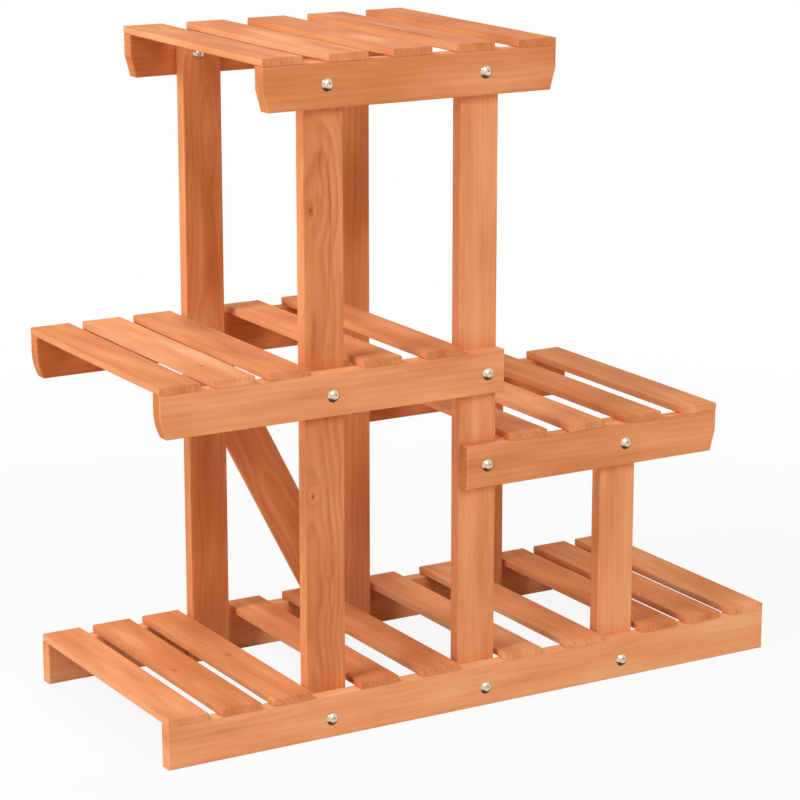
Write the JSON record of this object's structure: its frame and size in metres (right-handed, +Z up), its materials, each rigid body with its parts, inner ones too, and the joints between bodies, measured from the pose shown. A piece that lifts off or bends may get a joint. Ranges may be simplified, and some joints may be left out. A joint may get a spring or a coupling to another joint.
{
  "type": "tiered plant stand",
  "caption": "Free-standing wooden stand with slatted shelves at stepped heights, bolted to paired posts, for holding potted plants.",
  "frame": {"origin": "on the floor, under the middle of the whole stand's length and depth", "axes": "+X along the stand from the left shelf to the right shelf, +Y to the back, where the brace is, +Z up"},
  "size_m": [0.712, 0.3114, 0.6762],
  "materials": {
    "stained_wood": "satin",
    "plated_steel": "polished zinc plate",
    "brad_steel": "stained over"
  },
  "bodies": {
    "root": {"back_brace": "stained_wood", "back_left_post": "stained_wood", "back_middle_post": "stained_wood", "back_right_post": "stained_wood", "bottom_back_rail": "stained_wood", "bottom_brads": "brad_steel", "bottom_front_rail": "stained_wood", "bottom_slat_01": "stained_wood", "bottom_slat_02": "stained_wood", "bottom_slat_03": "stained_wood", "bottom_slat_04": "stained_wood", "bottom_slat_05": "stained_wood", "bottom_slat_06": "stained_wood", "bottom_slat_07": "stained_wood", "bottom_slat_08": "stained_wood", "bottom_slat_09": "stained_wood", "bottom_slat_10": "stained_wood", "brace_bolts": "plated_steel", "frame_bolts": "plated_steel", "front_left_post": "stained_wood", "front_middle_post": "stained_wood", "front_right_post": "stained_wood", "left_shelf_back_rail": "stained_wood", "left_shelf_brads": "brad_steel", "left_shelf_front_rail": "stained_wood", "left_shelf_slat_01": "stained_wood", "left_shelf_slat_02": "stained_wood", "left_shelf_slat_03": "stained_wood", "left_shelf_slat_04": "stained_wood", "left_shelf_slat_05": "stained_wood", "right_shelf_back_rail": "stained_wood", "right_shelf_brads": "brad_steel", "right_shelf_front_rail": "stained_wood", "right_shelf_slat_01": "stained_wood", "right_shelf_slat_02": "stained_wood", "right_shelf_slat_03": "stained_wood", "right_shelf_slat_04": "stained_wood", "sleeve_nuts": "plated_steel", "top_shelf_back_rail": "stained_wood", "top_shelf_brads": "brad_steel", "top_shelf_front_rail": "stained_wood", "top_shelf_slat_01": "stained_wood", "top_shelf_slat_02": "stained_wood", "top_shelf_slat_03": "stained_wood", "top_shelf_slat_04": "stained_wood", "top_shelf_slat_05": "stained_wood"}
  },
  "joints": []
}
